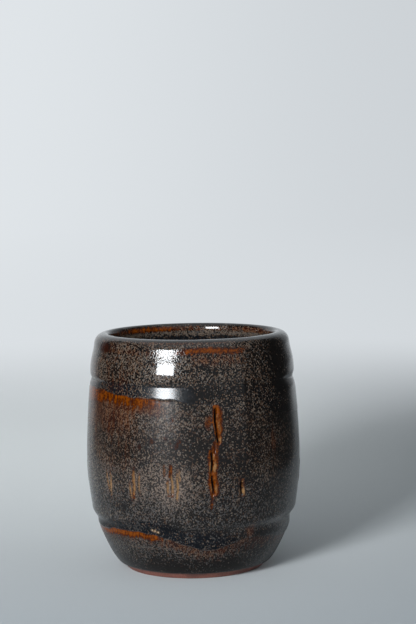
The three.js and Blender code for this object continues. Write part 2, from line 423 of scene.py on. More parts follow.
FRONT_SLITS = [
    Slit(12.6, 55.6, 64.4, 1.7, 0.7, 1.9, 1.2, 0.7, -0.6),
    Slit(13.5, 51.8, 56.0, 1.5, 0.5, 1.0, 0.85, 0.9),
    Slit(11.8, 47.8, 52.4, 0.3, 0.9, 1.2, 0.75, 0.0),
    Slit(10.2, 41.2, 49.0, 1.6, 1.1, 1.8, 1.1, 1.1, 0.3),
    Slit(10.5, 33.6, 40.4, 1.4, 1.2, 1.6, 1.1, 0.75, -0.5),
    Slit(9.9, 28.6, 33.6, 0.25, 0.2, 0.2, 0.7, 0.2, 0.2),
    Slit(26.0, 32.4, 38.0, 1.4, 0.8, 1.0, 0.5, 1.2),
    Slit(-6.6, 38.0, 43.0, 0.2, 0.2, 0.2, 0.3, 0.7, 0.4),
    Slit(-7.9, 31.4, 41.6, 0.3, 0.2, 0.25, 0.35, 1.0, 0.2),
    Slit(-10.7, 33.4, 41.0, 0.4, 0.25, 0.25, 0.5, 1.0, -0.5),
    Slit(-11.4, 40.0, 44.2, 0.4, 0.4, 0.3, 0.75, 0.3, 0.3),
    Slit(-12.9, 33.4, 38.6, 0.3, 0.25, 0.2, 0.5, 0.9, 0.2),
    Slit(-14.8, 40.0, 44.0, 0.2, 0.3, 0.3, 0.45, 0.4, 0.2),
    Slit(-28.9, 33.2, 40.4, 0.3, 0.25, 0.2, 0.4, 0.8, 0.2),
    Slit(-32.1, 32.2, 42.0, 0.5, 0.35, 0.35, 0.7, 1.0, 0.6),
    Slit(-34.4, 31.0, 37.0, 0.3, 0.25, 0.25, 0.45, 0.8, -0.4),
    Slit(-48.6, 31.0, 39.8, 0.4, 0.25, 0.25, 0.4, 1.0, 0.2),
    Slit(-51.0, 33.0, 40.2, 0.3, 0.2, 0.2, 0.4, 0.8, -1.6),
    Slit(9.0, 56.8, 61.4, 0.02, 0.9, 0.7, 0.5, 0.0, 0.8),
]
RING_AZIMUTHS = range(88, 269, 20)
RING_SPACING = 3.2
RING_SHIFT = 0.8
RING_RANGES = {  # in the order of the draws
    "low": (30.2, 32.2),
    "high": (37.5, 41.5),
    "depth": (0.3, 1.3),
    "amber": (0.5, 0.85),
    "cream": (0.3, 0.8),
    "lean": (-0.9, 0.9),
}


def ring_slits():
    """The short slits that go on round the back, one to three in each place."""
    slits = []
    for middle in RING_AZIMUTHS:
        count = int(chance.integers(1, 4))
        for k in range(count):
            azimuth = middle + (k - (count - 1) / 2) * RING_SPACING
            azimuth += chance.uniform(-RING_SHIFT, RING_SHIFT)
            drawn = {name: chance.uniform(*ends) for name, ends in RING_RANGES.items()}
            right = 0.1 + 0.4 * drawn["depth"]
            slits.append(Slit(azimuth, left=0.7 * right, right=right, **drawn))
    return slits


SLITS = FRONT_SLITS + ring_slits()
SLIT_PHASES = chance.uniform(0, 2 * np.pi, (len(SLITS), 3))


def slit_marks(azimuth, height, radius):
    """Relief, dark core, cream edges and amber margins of all slits at points on the wall; the core is
    partly painted shade and the cream edges partly a painted highlight.
    """
    relief, core, pale, amber = (np.zeros(np.broadcast(azimuth, height).shape) for _ in range(4))
    for slit, phases in zip(SLITS, SLIT_PHASES):
        along = (height - slit.low) / (slit.high - slit.low)
        near = np.abs(turned(azimuth, slit.azimuth)) < SLIT_REACH
        near &= (along > -SLIT_OVERRUN) & (along < 1 + SLIT_OVERRUN)
        t = np.clip(along[near], 0, 1)
        z = height[near]
        centre = slit.azimuth + slit.lean * (t - 0.5) + SLIT_SWAY * np.sin(0.8 * z + phases[2])
        across = np.radians(turned(azimuth[near], centre)) * radius[near]
        side = np.abs(across)
        deep = min(slit.depth / DEEP_SLIT, 1)
        half = SLIT_HALF_WIDTH * (THIN_SHARE + (1 - THIN_SHARE) * deep)
        cut = np.sqrt(np.clip(1 - (2 * t - 1) ** 4, 0, 1))
        relief[near] -= slit.depth * cut * fade(CUT_SIDE, side, half)
        relief[near] += SLIT_LIP * deep * cut * bell(side, LIP_PLACE * half, half)
        # The dark core: dark glaze at the bottom of a cut, with painted shade over it.
        dark = fade(CORE_DEPTHS, deep) * cut * fade(CORE_SIDE, side, half)

        ends = np.clip((along[near] + LEAF_OVERRUN) / (1 + 2 * LEAF_OVERRUN), 0, 1)
        leaf = np.sin(np.pi * ends) ** LEAF_POWER
        # Waves up the slit, in radians to the millimetre, make the end of the amber uneven.
        waves = np.where(across < 0, np.sin(0.9 * z + phases[0]), np.sin(1.1 * z + phases[1]))
        ragged = 1 + 0.08 * waves + 0.06 * np.sin(2.1 * z + phases[2])
        reach = half + np.where(across < 0, slit.left, slit.right) * leaf * ragged
        broken = slit.amber * np.minimum(2.5 * leaf, 1) * smooth(1.35 * reach + 0.4, 0.4 * reach, side)

        dashes = 0.5 + 0.5 * np.sin(2.3 * z + phases[0]) * np.sin(0.9 * z + phases[1])
        shallow = fade(SHALLOW_DEPTHS, deep)
        dashes = np.maximum(dashes, 0.7 * shallow)
        # Cream edges: pale glaze where it breaks at the cut's edges, and a painted highlight where the
        # light catches them, stronger on the right.
        right_edge = bell(across, CREAM_PLACE * half, CREAM_WIDTH)
        left_edge = bell(across, -CREAM_PLACE * half, CREAM_WIDTH)
        edges = (1 - shallow) * (right_edge + 0.9 * left_edge)
        edges += shallow * bell(across, 0, SHALLOW_CREAM_WIDTH * half)
        low_side = strip(side, LOW_CREAM_PLACE * half, 0.5 * reach + half, 0.15)
        low_end = 0.7 * deep * smooth(0.75, 0.3, t) * low_side
        cream = slit.cream * cut * np.maximum(edges * dashes, low_end)
        for mask, values in ((core, dark), (pale, cream), (amber, broken)):
            mask[near] = np.maximum(mask[near], values)
    return relief, core, pale, amber


# Marks of the glaze.
@dataclass
class Mark:
    """A mark round the cup: its arc, the fades across it, and how strong it is.

    An arc is the azimuths of its two ends and how soft these are. A fade is where the mark is none and
    where it is full, most often counted from the edge of a coat.
    """

    arc: tuple
    fades: tuple
    share: float = 1.0

    def at(self, azimuth, across, least=0):
        """Its strength at points, as if the arc gave no less than the least."""
        strength = self.share * np.maximum(on_arc(self.arc, azimuth), least)
        for span in self.fades:
            strength = strength * fade(span, across)
        return strength


@dataclass
class Patch:
    """A soft place on the wall: its middle and its spread, in degrees round and millimetres up."""

    azimuth: float
    height: float
    wide: float
    tall: float
    amount: float

    def at(self, azimuth, height):
        across = round_bell(azimuth, self.azimuth, self.wide)
        return self.amount * across * bell(height, self.height, self.tall)


ALL_ROUND = (-200, 200, 1)

# At the edge of the rim coat: amber and rust under it, and glaze that gathers over it.
RIM_BACK = (150, 28)  # azimuth and spread of a place at the back where they come again
WEDGE = Mark((-125, -32, 9), ((-0.3, 0.5),))
WEDGE_END = Mark((-40, -13, 6), ((-0.3, 0.5),), 0.85)
WEDGE_TAIL = Mark((-60, -16, 5), ((-0.3, 0.5), (6.5, 0.4)), 0.8)
WEDGE_AZIMUTH = -70
WEDGE_FOOT = 64.6  # lower end of the wedge at that azimuth
WEDGE_SLOPE = 0.07  # and its climb for each degree
WEDGE_FOOT_FADE = (-1.6, 1.2)
RIM_FRINGE = Mark((-130, -12, 9), ((-0.3, 0.3), (10, 3)), 0.95)
RIM_STREAKS = Mark((-105, -28, 14), ((43, 62),), 0.75)  # by height
RIM_POOL = Mark((-130, 2, 12), ((-0.2, 0.4),))
RIM_POOL_TOP = (74, 71)
RIM_SWELL = Mark(ALL_ROUND, ((-0.35, 0.3), (9, 1)), 0.11)

# The same at the edge of the belly coat.
WAIST_BACK = (135, 30)
WAIST_AMBER = Mark((-108, -20, 8), ((-0.15, 0.3), (3.4, 0.9)), 1.2)
WAIST_RUST = Mark(ALL_ROUND, ((-0.2, 0.3), (9, 1)), 0.6)
WAIST_POOL = Mark((-190, 28, 12), ((-0.2, 0.4),))
WAIST_POOL_DEPTH = 3.4
WAIST_POOL_TOP = (1.7, 0.4)  # in such depths
DEEP_POOLS = [(-22, 14), (6, 14)]  # azimuth and spread
DEEP_POOL_GAIN = 3
WAIST_SWELL = Mark(ALL_ROUND, ((-0.3, 0.35), (7, 1)), 0.3)
THIN_EDGE_ARC = (22, 80, 12)  # where both edges lie flat

# Collar, lip and inside.
STRIPE_HEIGHT = 84.5
STRIPE_SPREAD = 1.2
STRIPE_WAVE = 0.3
STRIPE_WAVE_COUNT = 11
STRIPE_ARC = (-8, 31, 9)
BACK_STRIPE_AZIMUTH = 200
BACK_STRIPE_ARC = (-20, 22, 9)  # counted from there
BACK_STRIPE_SHARE = 0.8
LIP_RUST = [  # amount, height, spread and arc
    (0.6, 83.6, 1.5, (-62, -8, 10)),
    (0.65, 81.3, 2.8, (-4, 32, 7)),
    (0.75, 87.2, 0.5, (-34, 26, 10)),
]
CREST_FADE = (86.9, 87.9)
INSIDE_AMBER = [Patch(-148, 86.3, 26, 0.9, 1.2), Patch(-20, 86.2, 30, 0.8, 0.6)]
INSIDE_RUST_BAND = (85.2, 87.4, 0.5)
INSIDE_RUST = 0.3
INSIDE_RUST_GAIN = 0.5
INSIDE_RUST_PLACES = [(-150, 50), (125, 22)]  # azimuth and spread
INSIDE_CRYSTAL_HEIGHT = 84.4
INSIDE_CRYSTAL_SPREAD = 0.9
INSIDE_CRYSTAL_GAIN = 0.35
INSIDE_COOL = 0.3
INSIDE_POOL_FADE = (84.6, 82.8)
INSIDE_RIPPLE = 0.07
INSIDE_RIPPLE_WAVE = 1.6  # radians to the millimetre
INSIDE_RIPPLE_FADE = (4, 12)  # lengths under the mouth

# All over the outside.
CRYSTAL_SHARE = 0.4
CREST_LOSS = 0.3
FOOT_LOSS = 0.2
FOOT_FADE = (11, 3)
COOL_FADE = (40, 26)
WARM = Mark((-115, -22, 22), ((34, 44),), 0.4)
LEAST_GRIT = 0.14
GRIT_FADE = (79.2, 81.6)
DARK_LINE = (38.8, 0.5)  # azimuth and spread
DARK_LINE_BAND = (51.5, 59.5, 1)  # heights of its ends, and how soft these are

# Glaze that fills the groove at the front.
GROOVE_FILL = 0.5
FILL_ARC = (-62, 60, 14)
FILL_BELOW = 2.85  # how far it reaches under the groove's bottom
FILL_ABOVE = 2.3  # and over it
FILL_LIFT = 0.2  # its thickest part lies this much higher
FILL_POWER = 1.25  # it thins out downwards in a hollow line
FILL_SOFTNESS = 0.5
FILL_LAYERS = 9

# Small marks, by azimuth and height.
RUST_SPOTS = [  # and radius
    (-8.1, 51.1, 1.3),
    (-6.8, 52.9, 1.0),
    (-11.6, 52.0, 0.6),
    (-13.7, 53.8, 0.8),
    (-21.2, 52.6, 1.1),
    (-28.2, 50.4, 0.9),
    (-10.4, 60.5, 0.8),
]
SPOT_FADE = (1.2, 0.5)  # in radii
SPOT_AMBER = 0.6
SPOT_CORE = 0.65
BLISTERS = [(-23.6, 20.2, 0.4), (-22.2, 19.9, 0.55), (-20.4, 19.4, 0.4)]  # and rise
BLISTER_RADIUS = 0.6
BLISTER_DENT = 0.8
PAINTED_GLINT_RADIUS = 0.4

# Patches of rust, of pale haze that is partly a painted sheen, and of more or fewer crystals, some of them
# painted shade or sheen.
RUST_PATCHES = [
    Patch(8.4, 59.3, 1.8, 3.0, 0.9),
    Patch(47, 50.5, 2.6, 6.5, 0.75),
    Patch(34.6, 18.3, 3.0, 2.8, 1.1),
    Patch(-59, 84.4, 8, 2.4, 1.0),
]
# Pale haze: the three on the belly are partly a painted sheen of the soft box's broad reflection; the one
# low on the right is a pale patch.
HAZE_AND_SHEEN_PATCHES = [
    Patch(-11, 36.5, 9.5, 7, 0.85),
    Patch(-30, 36.5, 5.5, 6, 0.45),
    Patch(-51, 36, 4.5, 5, 0.35),
    Patch(34.6, 18.3, 2.6, 2.4, 0.12),
]
# More or fewer crystals. Those at azimuth 40 to 62 are painted shade on the side away from the key; the one
# at azimuth -23 and height 57 is a painted sheen.
CRYSTAL_CLOUDS_AND_PAINTED_LIGHT = [
    Patch(23, 47, 10, 9, -0.18),
    Patch(2, 49, 10, 7, -0.2),
    Patch(-30, 49, 14, 5, -0.13),
    # painted shade, right of the belly
    Patch(62, 58, 16, 26, -0.18),
    # painted sheen
    Patch(-23, 57, 11, 8, 0.04),
    Patch(0, 6, 40, 4, -0.14),
    Patch(-40, 28, 18, 3, -0.09),
    Patch(-45, 23, 18, 2.5, 0.1),
    Patch(-15, 13, 45, 4, 0.08),
    Patch(34.6, 18.3, 3, 2.8, 0.08),
    # painted shade, right of the collar
    Patch(58, 80, 16, 8, -0.24),
    Patch(10, 69.5, 20, 3, -0.15),
    Patch(-59, 84.4, 7, 2, -0.55),
    Patch(-45, 79, 25, 5, 0.08),
    Patch(-42, 73, 16, 2, -0.1),
    # painted shade, low on the right
    Patch(40, 35, 22, 30, -0.07),
    Patch(48, 16, 24, 9, -0.09),
    Patch(-22, 63.5, 10, 3.5, -0.12),
]


def away(azimuth, height, radius, place):
    """Distance on the wall from a place that starts with its azimuth and height."""
    return np.hypot(np.radians(turned(azimuth, place[0])) * radius, height - place[1])


def rim_edge_masks(azimuth, height):
    """Amber and rust under the edge of the rim coat, and the glaze that gathers over it."""
    over = height - rim_edge(azimuth)
    under = -over
    back = round_bell(azimuth, *RIM_BACK)
    foot = WEDGE_FOOT + WEDGE_SLOPE * (turned(azimuth, 0) - WEDGE_AZIMUTH)
    wedge = np.maximum(WEDGE.at(azimuth, under, 0.9 * back), WEDGE_END.at(azimuth, under))
    wedge = wedge * fade(WEDGE_FOOT_FADE, height - foot)
    streaks = RIM_STREAKS.at(azimuth, height, back) * (under > 0)
    pool = RIM_POOL.at(azimuth, over, least=0.35) * fade(RIM_POOL_TOP, height)
    amber = np.maximum(wedge, WEDGE_TAIL.at(azimuth, under))
    return amber, np.maximum(RIM_FRINGE.at(azimuth, under, back), streaks), pool


def waist_edge_masks(azimuth, height):
    """The same round the edge of the belly coat at the waist."""
    over = height - waist_edge(azimuth)
    under = -over
    back = round_bell(azimuth, *WAIST_BACK)
    deep = sum(round_bell(azimuth, *place) for place in DEEP_POOLS)
    depth = WAIST_POOL_DEPTH + DEEP_POOL_GAIN * deep
    pool = WAIST_POOL.at(azimuth, over, least=0.5) * fade(WAIST_POOL_TOP, over, depth)
    return WAIST_AMBER.at(azimuth, under, 0.85 * back), WAIST_RUST.at(azimuth, under), pool


def lip_masks(azimuth, height):
    """Amber stripe and rust on the collar and the lip."""
    middle = STRIPE_HEIGHT + STRIPE_WAVE * np.sin(np.radians(turned(azimuth, 0) * STRIPE_WAVE_COUNT))
    stripe = bell(height, middle, STRIPE_SPREAD)
    back = BACK_STRIPE_SHARE * stripe * strip(turned(azimuth, BACK_STRIPE_AZIMUTH), *BACK_STRIPE_ARC)
    amber = np.maximum(stripe * on_arc(STRIPE_ARC, azimuth), back)
    rusts = [
        amount * bell(height, level, spread) * on_arc(arc, azimuth)
        for amount, level, spread, arc in LIP_RUST
    ]
    return amber, np.maximum.reduce(rusts)


def inside_masks(azimuth, height):
    """Amber and rust inside the lip, a pale rim of crystals under them, and the dark glaze below."""
    places = sum(round_bell(azimuth, *place) for place in INSIDE_RUST_PLACES)
    rust = (INSIDE_RUST + INSIDE_RUST_GAIN * places) * strip(height, *INSIDE_RUST_BAND)
    crystals = INSIDE_CRYSTAL_GAIN * bell(height, INSIDE_CRYSTAL_HEIGHT, INSIDE_CRYSTAL_SPREAD)
    return {
        "amber": np.maximum.reduce([patch.at(azimuth, height) for patch in INSIDE_AMBER]),
        "rust": rust,
        "pool": fade(INSIDE_POOL_FADE, height),
        "crystal": CRYSTAL_SHARE + crystals - CREST_LOSS * fade(CREST_FADE, height),
        "cool": INSIDE_COOL,
    }


def outside_masks(azimuth, height, radius, core, pale, slit_amber):
    """All masks on the outside, given those of the slits."""
    rim_amber, rim_rust, rim_pool = rim_edge_masks(azimuth, height)
    waist_amber, waist_rust, waist_pool = waist_edge_masks(azimuth, height)
    lip_amber, lip_rust = lip_masks(azimuth, height)
    warm = WARM.at(azimuth, height)
    spots = [fade(SPOT_FADE, away(azimuth, height, radius, spot), spot[2]) for spot in RUST_SPOTS]
    spotted = np.clip(sum(spots), 0, 1)
    patches = [patch.at(azimuth, height) for patch in RUST_PATCHES]
    line = 0.6 * round_bell(azimuth, *DARK_LINE) * strip(height, *DARK_LINE_BAND)
    to_blisters = [away(azimuth, height, radius, blister) for blister in BLISTERS]
    swollen = sum(bell(near, 0, 1.5 * BLISTER_RADIUS) for near in to_blisters)
    # Painted glints: pale colour at the blisters' middles, where they catch the soft box.
    painted_glints = [2.0 * bell(near, 0, PAINTED_GLINT_RADIUS) for near in to_blisters]
    crystal = CRYSTAL_SHARE - CREST_LOSS * fade(CREST_FADE, height) - FOOT_LOSS * fade(FOOT_FADE, height)
    return {
        "amber": np.maximum.reduce([slit_amber, rim_amber, waist_amber, lip_amber, SPOT_AMBER * spotted]),
        "rust": np.maximum.reduce([rim_rust, waist_rust, lip_rust, warm, *spots, *patches]),
        "pool": np.maximum(rim_pool, waist_pool) * np.clip(1 - 1.5 * swollen, 0, 1),
        "crystal": crystal + sum(cloud.at(azimuth, height) for cloud in CRYSTAL_CLOUDS_AND_PAINTED_LIGHT) - sum(spots),
        "core": np.maximum.reduce([core, line, SPOT_CORE * spotted]),
        "pale": np.maximum.reduce([pale, *painted_glints]),
        "haze": sum(patch.at(azimuth, height) for patch in HAZE_AND_SHEEN_PATCHES),
        "cool": fade(COOL_FADE, height),
        "grit": LEAST_GRIT + (1 - LEAST_GRIT) * fade(GRIT_FADE, height),
    }


def groove_fill(azimuth, height):
    """Thickness of the glaze that fills the groove up at the front."""
    layers = []
    for shift in np.linspace(-FILL_SOFTNESS, FILL_SOFTNESS, FILL_LAYERS):
        over = height - GROOVE_HEIGHT - FILL_LIFT + shift
        below = np.clip(1 + over / FILL_BELOW, 0, 1) ** FILL_POWER
        layers.append(np.minimum(below, np.clip(1 - over / FILL_ABOVE, 0, 1)))
    return GROOVE_FILL * on_arc(FILL_ARC, azimuth) * np.mean(layers, axis=0)


def outside_relief(azimuth, height, radius):
    """Glaze that stands proud of the skin: the coats' thick edges, the filled groove and the blisters."""
    swell = RIM_SWELL.at(azimuth, height - rim_edge(azimuth))
    swell += WAIST_SWELL.at(azimuth, height - waist_edge(azimuth))
    relief = swell * (1 - on_arc(THIN_EDGE_ARC, azimuth)) + groove_fill(azimuth, height)
    for blister in BLISTERS:
        near = away(azimuth, height, radius, blister)
        dent = BLISTER_DENT * bell(near, 0, 0.4 * BLISTER_RADIUS)
        relief += blister[2] * (bell(near, 0, BLISTER_RADIUS) - dent)
    return relief


def relief_and_masks(azimuth, place):
    """Height of the real surface over the plain skin, and what the glaze does there."""
    radius, height, _, _ = skin.at(place)
    outside = place < skin.crest
    slit_relief, *slit_masks = slit_marks(azimuth, height, radius)
    out_relief = slit_relief + outside_relief(azimuth, height, radius)
    ripple = INSIDE_RIPPLE * np.cos(place * INSIDE_RIPPLE_WAVE + np.radians(azimuth))
    in_relief = ripple * fade(INSIDE_RIPPLE_FADE, place - skin.mouth)
    out_masks = outside_masks(azimuth, height, radius, *slit_masks)
    in_masks = inside_masks(azimuth, height)
    masks = {name: np.where(outside, mask, in_masks.get(name, 0)) for name, mask in out_masks.items()}
    return np.where(outside, out_relief, in_relief), masks


THICK_BACK_LOW = (13, 22)  # heights over which the coats get thick enough behind for the slits
THICK_BACK_HIGH = (75, 67)


def back_depth(place):
    """How far under the skin the hidden side of the outside coats lies."""
    height = skin.at(place)[1]
    cut = fade(THICK_BACK_LOW, height) * fade(THICK_BACK_HIGH, height) * (place < skin.crest)
    return GLAZE + (SLIT_BACK - GLAZE) * cut


# Meshes.
def add_object(name, data, *hidden_from):
    """A new object in the scene, which rays of these kinds don't meet."""
    thing = bpy.data.objects.new(name, data)
    bpy.context.scene.collection.objects.link(thing)
    for rays in hidden_from:
        setattr(thing, "visible_" + rays, False)
    return thing


def round_points(azimuth, radius, height):
    """Points in metres from azimuth, radius and height."""
    turn = np.radians(azimuth)
    return np.stack([radius * np.sin(turn), -radius * np.cos(turn), height + 0 * turn], axis=-1) * MM


class Solid:
    """A closed mesh that is put together from rings of points round the cup."""

    def __init__(self):
        self.points = []
        self.masks = []
        self.faces = []
        self.corners = []
        self.count = 0

    def ring_grid(self, points, masks=None):
        """Adds rows of points and returns their numbers in the same shape."""
        rows, columns, _ = points.shape
        numbers = np.arange(rows * columns).reshape(rows, columns) + self.count
        self.count += rows * columns
        self.points.append(points.reshape(-1, 3))
        masks = masks or {}
        self.masks.append({name: values.reshape(-1) for name, values in masks.items()})
        return numbers

    def layer(self, columns, place, depth, masks=None):
        """Adds rows of points on the skin, or this far under it."""
        radius, height, out, up = skin.at(place)
        points = round_points(columns + 0 * place, radius - depth * out, height - depth * up)
        return self.ring_grid(points, masks)

    def add_faces(self, faces, corner_u, corner_v):
        self.faces.extend(faces.tolist())
        self.corners.append(np.stack([corner_u, corner_v], axis=-1).reshape(-1, 2))

    def join(self, numbers, band):
        """Quads between rows that go round, in a band of the bake map."""
        rows, columns = numbers.shape
        here, ahead = numbers, np.roll(numbers, -1, axis=1)
        quads = np.stack([here[:-1], ahead[:-1], ahead[1:], here[1:]], axis=-1)
        u = np.arange(columns + 1) / columns
        v = np.linspace(*band, rows)
        u_low, v_here = np.meshgrid(u[:-1], v[:-1])
        u_high, v_next = np.meshgrid(u[1:], v[1:])
        corner_u = np.stack([u_low, u_high, u_high, u_low], axis=-1)
        corner_v = np.stack([v_here, v_here, v_next, v_next], axis=-1)
        self.add_faces(quads.reshape(-1, 4), corner_u, corner_v)

    def close(self, ring, height, band):
        """A fan from a ring to a point on the axis that the ring goes round."""
        point = self.ring_grid(np.array((0, 0, height), float).reshape(1, 1, 3) * MM)[0, 0]
        ahead = np.roll(ring, -1)
        fan = np.stack([ring, ahead, np.full_like(ring, point)], axis=-1)
        u = np.arange(len(ring)) / len(ring)
        middle = u + 0.5 / len(ring)
        corner_u = np.stack([u, u + 1 / len(ring), middle], axis=-1)
        corner_v = np.stack([0 * u + band[0], 0 * u + band[0], 0 * u + band[1]], axis=-1)
        self.add_faces(fan, corner_u, corner_v)

    def finish(self, name, material):
        """Makes the object, which stands for the CAD node of its name and rides on the cup."""
        mesh = bpy.data.meshes.new(name)
        mesh.from_pydata(np.concatenate(self.points), [], self.faces)
        uv_map = mesh.uv_layers.new(name="OFBake")
        uv_map.data.foreach_set("uv", np.concatenate(self.corners).astype(np.float32).ravel())
        names = sorted({mask for group in self.masks for mask in group})
        sizes = [len(points) for points in self.points]
        for mask in names:
            parts = [group.get(mask, np.zeros(size)) for group, size in zip(self.masks, sizes)]
            attribute = mesh.attributes.new(mask, "FLOAT", "POINT")
            attribute.data.foreach_set("value", np.concatenate(parts).astype(np.float32))
        mesh.polygons.foreach_set("use_smooth", np.ones(len(mesh.polygons), bool))
        mesh.set_sharp_from_angle(angle=math.radians(62))
        mesh.materials.append(material)
        piece = add_object(name, mesh)
        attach(piece, "root")
        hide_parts(name)
        return piece


def wall_columns():
    """Azimuths of the outside columns, close together at the slits."""
    fine = np.linspace(-180, 180, FINE_COLUMNS + 1)
    density = np.ones_like(fine)
    for slit in SLITS:
        density += SLIT_CROWDING * round_bell(fine, slit.azimuth, SLIT_CROWDING_SPREAD)
    density = np.minimum(density, MOST_CROWDING)
    total = np.concatenate([[0], np.cumsum((density[1:] + density[:-1]) / 2)])
    return np.interp(np.arange(COLUMNS) / COLUMNS * total[-1], total, fine)


def row_shares(rows):
    """Shares of a coat's height, a little closer together at both edges."""
    t = np.linspace(0, 1, rows + 1)
    return (1 - EDGE_CROWDING) * t + EDGE_CROWDING * (1 - np.cos(np.pi * t)) / 2


def coat(name, low, high, rows, columns, material):
    """A coat of glaze between two edges, given as places on the skin for each column."""
    solid = Solid()
    place = low + row_shares(rows)[:, None] * (high - low)
    relief, masks = relief_and_masks(columns + 0 * place, place)
    front = solid.layer(columns, place, -relief, masks)
    place = low + np.linspace(1, 0, BACK_ROWS + 1)[:, None] * (high - low)
    back = solid.layer(columns, place, back_depth(place))
    solid.join(front, FRONT_BAND)
    solid.join(np.stack([front[-1], back[0]]), HIGH_EDGE_BAND)
    solid.join(back, BACK_BAND)
    solid.join(np.stack([back[-1], front[0]]), LOW_EDGE_BAND)
    return solid.finish(name, material)


def liner(name, material):
    """The coat inside, from the mouth to the middle of the floor."""
    solid = Solid()
    columns = np.linspace(-180, 180, LINER_COLUMNS, endpoint=False)
    last = skin.end - POLE
    place = np.linspace(skin.mouth, last, LINER_ROWS + 1)[:, None] + 0 * columns
    relief, masks = relief_and_masks(columns + 0 * place, place)
    relief *= smooth(last, skin.end - FLOOR_CALM, place)
    front = solid.layer(columns, place, -relief, masks)
    place = np.linspace(last, skin.mouth, LINER_BACK_ROWS + 1)[:, None]
    back = solid.layer(columns, place, GLAZE)
    solid.join(front, FRONT_BAND)
    solid.close(front[-1], skin.height[-1], FRONT_POLE_BAND)
    solid.join(back, BACK_BAND)
    solid.close(back[0][::-1], skin.height[-1] - GLAZE, BACK_POLE_BAND)
    solid.join(np.stack([back[-1], front[0]]), LOW_EDGE_BAND)
    return solid.finish(name, material)


def clay(name, material):
    """The clay: its bare foot, and its hidden sides just under the coats."""
    ring_inside = FOOT_RADIUS - FOOT_RING_WIDTH
    recess_edge = ring_inside - RECESS_SLOPE
    foot = np.concatenate([
        curve((POLE, RECESS_DEPTH), (recess_edge, RECESS_DEPTH)),
        curve((recess_edge, RECESS_DEPTH), (ring_inside, 0)),
        curve((ring_inside, 0), (FOOT_RADIUS, 0)),
        curve((FOOT_RADIUS, 0), GLAZE_LINE),
    ])
    foot = softened(evenly(foot, FOOT_SPACING), FOOT_ROUNDING, FOOT_SPACING)
    foot[:, 1] = np.maximum(foot[:, 1], 0)
    wall = np.linspace(CLAY_START, skin.mouth, CLAY_WALL_ROWS)
    inside = np.linspace(skin.mouth, skin.end - POLE, CLAY_INSIDE_ROWS)
    place = np.concatenate([wall, inside[1:]])
    radius, height, out, up = skin.at(place)
    depth = back_depth(place) - GLAZE + thickness(place) + CLAY_GAP
    hidden = np.stack([radius - depth * out, height - depth * up], axis=1)
    line = np.concatenate([foot, hidden])
    columns = np.linspace(-180, 180, LINER_COLUMNS, endpoint=False)
    azimuth = columns + np.zeros((len(line), 1))
    solid = Solid()
    rings = solid.ring_grid(round_points(azimuth, line[:, :1], line[:, 1:]))
    solid.join(rings, CLAY_BAND)
    solid.close(rings[0][::-1], line[0, 1], CLAY_FOOT_BAND)
    solid.close(rings[-1], line[-1, 1], CLAY_FLOOR_BAND)
    return solid.finish(name, material)


# Materials.
class Graph:
    """Short names for the shader nodes that the materials use."""

    def __init__(self, name):
        self.material = bpy.data.materials.new(name)
        self.material.use_nodes = True
        self.tree = self.material.node_tree
        self.shader = self.tree.nodes["Principled BSDF"]
        self.place = self.tree.nodes.new("ShaderNodeTexCoord").outputs["Object"]

    def feed(self, socket, value):
        """Sets a socket to a constant, or links it to another node's output."""
        if isinstance(value, bpy.types.NodeSocket):
            self.tree.links.new(value, socket)
        elif isinstance(value, (tuple, list)) and socket.type == "RGBA":
            socket.default_value = (*value, 1)
        else:
            socket.default_value = value

    def node(self, kind, inputs=None, **settings):
        """A new node with these settings, its inputs fed by number or name."""
        node = self.tree.nodes.new("ShaderNode" + kind)
        for name, value in settings.items():
            setattr(node, name, value)
        for key, value in (inputs or {}).items():
            self.feed(node.inputs[key], value)
        return node

    def mask(self, name):
        return self.node("Attribute", attribute_name=name).outputs["Fac"]

    def math(self, operation, first, second):
        return self.node("Math", {0: first, 1: second}, operation=operation).outputs[0]

    def add(self, first, second):
        return self.math("ADD", first, second)

    def times(self, first, second):
        return self.math("MULTIPLY", first, second)

    def sway(self, field, size):
        """A noise field about its middle, times a size."""
        return self.times(self.math("SUBTRACT", field, 0.5), size)

    def rise(self, value, low, high, start=0.0, end=1.0):
        """A smooth step from start at low to end at high."""
        inputs = {"Value": value, "From Min": low, "From Max": high, "To Min": start, "To Max": end}
        return self.node("MapRange", inputs, interpolation_type="SMOOTHSTEP").outputs["Result"]

    def vector(self, operation, *inputs):
        return self.node("VectorMath", dict(enumerate(inputs)), operation=operation)

    def stretched(self, share):
        """Object coordinates with this share of the heights, so that patterns grow taller."""
        return self.vector("MULTIPLY", self.place, (1, 1, share)).outputs[0]

    def noise_node(self, grain, detail, roughness, upright):
        inputs = {"Scale": 1 / (grain * MM), "Detail": detail, "Roughness": roughness}
        return self.node("TexNoise", {"Vector": self.stretched(upright), **inputs})

    def noise(self, grain, detail=2.0, roughness=0.5, upright=1.0):
        """A noise field with grains of about this many millimetres."""
        return self.noise_node(grain, detail, roughness, upright).outputs["Fac"]

    def grains(self, grain, upright):
        """Three chance values for each of many small uneven cells of about this many millimetres."""
        stir = self.noise_node(grain, 1.0, 0.5, upright).outputs["Color"]
        shift = self.vector("MULTIPLY_ADD", stir, (grain * MM,) * 3, self.stretched(upright))
        cells = self.node("TexVoronoi", {"Vector": shift.outputs[0], "Scale": 1 / (grain * MM)})
        return self.node("SeparateColor", {0: cells.outputs["Color"]}).outputs

    def axis(self, name):
        """One of the object coordinates, in metres."""
        return self.node("SeparateXYZ", {0: self.place}).outputs[name]

    def mix(self, first, second, share):
        return self.node("Mix", {0: share, 6: first, 7: second}, data_type="RGBA").outputs[2]

    def bump(self, height, distance, strength):
        inputs = {"Height": height, "Distance": distance * MM, "Strength": strength}
        return self.node("Bump", inputs).outputs["Normal"]

    def set(self, **values):
        for name, value in values.items():
            self.feed(self.shader.inputs[name.replace("_", " ")], value)
        return self.material

    def end_in(self, other, share):
        """Ends the material in a mix of its own shader and a share of another node's."""
        blend = self.node("MixShader", {0: share, 1: self.shader.outputs[0], 2: other.outputs[0]})
        self.feed(self.tree.nodes["Material Output"].inputs["Surface"], blend.outputs[0])
        return self.material


